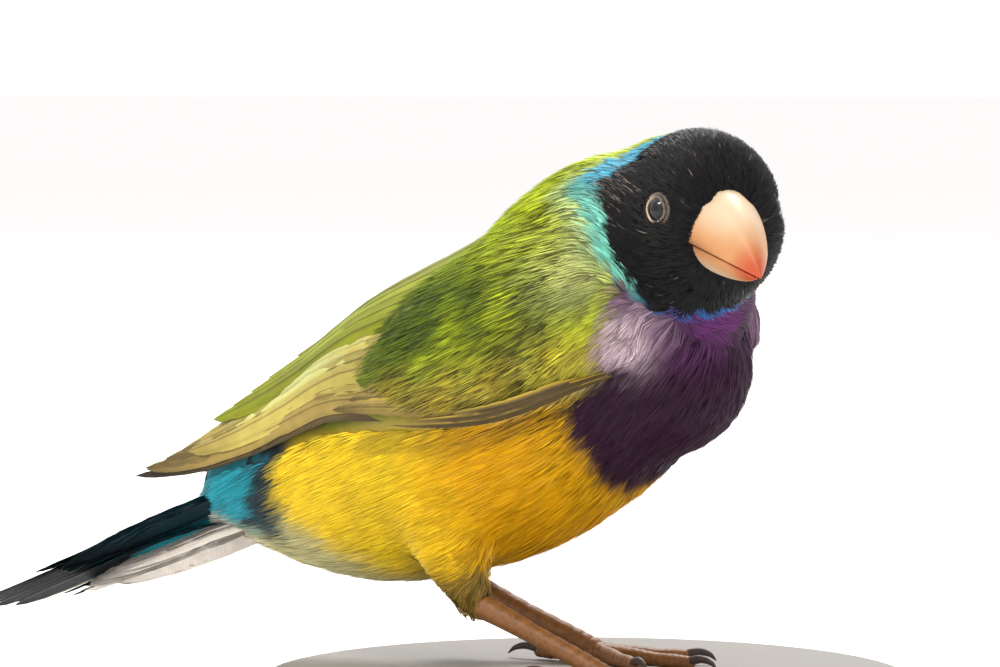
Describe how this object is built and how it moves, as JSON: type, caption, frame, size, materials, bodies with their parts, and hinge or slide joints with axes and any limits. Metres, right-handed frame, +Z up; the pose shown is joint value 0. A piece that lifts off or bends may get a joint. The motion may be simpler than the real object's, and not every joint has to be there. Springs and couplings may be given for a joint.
{
  "type": "gouldian finch",
  "caption": "Small perching songbird, crouched with its head turned to one side, folded wings and a pointed tail, standing on a plain round base",
  "frame": {"origin": "centre of the flat underside of the round base", "axes": "+X forwards, towards the breast; +Y to the bird's left; +Z up"},
  "size_m": [0.1219, 0.066, 0.0606],
  "materials": {
    "stand_paint": "matt paint on a turned base",
    "plumage_gold": "soft plumage, golden belly and purple breast",
    "plumage_lime": "soft plumage, lime green with a pale blue collar",
    "plumage_mask": "short velvety black plumage with a pale blue border",
    "plumage_olive": "layered olive green feathers with tan flight feathers",
    "plumage_tail": "black feathers with a blue-green edge",
    "bill_horn": "smooth ivory horn, orange red at the tip",
    "eye_dark": "wet, nearly black",
    "leg_scale": "scaled brown skin and horn claws"
  },
  "bodies": {
    "root": {"stand_base": "stand_paint", "torso": "plumage_gold", "neck": "plumage_lime", "head": "plumage_mask", "bill_upper": "bill_horn", "bill_lower": "bill_horn", "eye_right": "eye_dark", "eye_left": "eye_dark", "wing_right": "plumage_olive", "wing_left": "plumage_olive", "tail": "plumage_tail", "thigh_right": "plumage_gold", "thigh_left": "plumage_gold", "tarsus_right": "leg_scale", "tarsus_left": "leg_scale", "foot_right": "leg_scale", "foot_left": "leg_scale"}
  },
  "joints": []
}
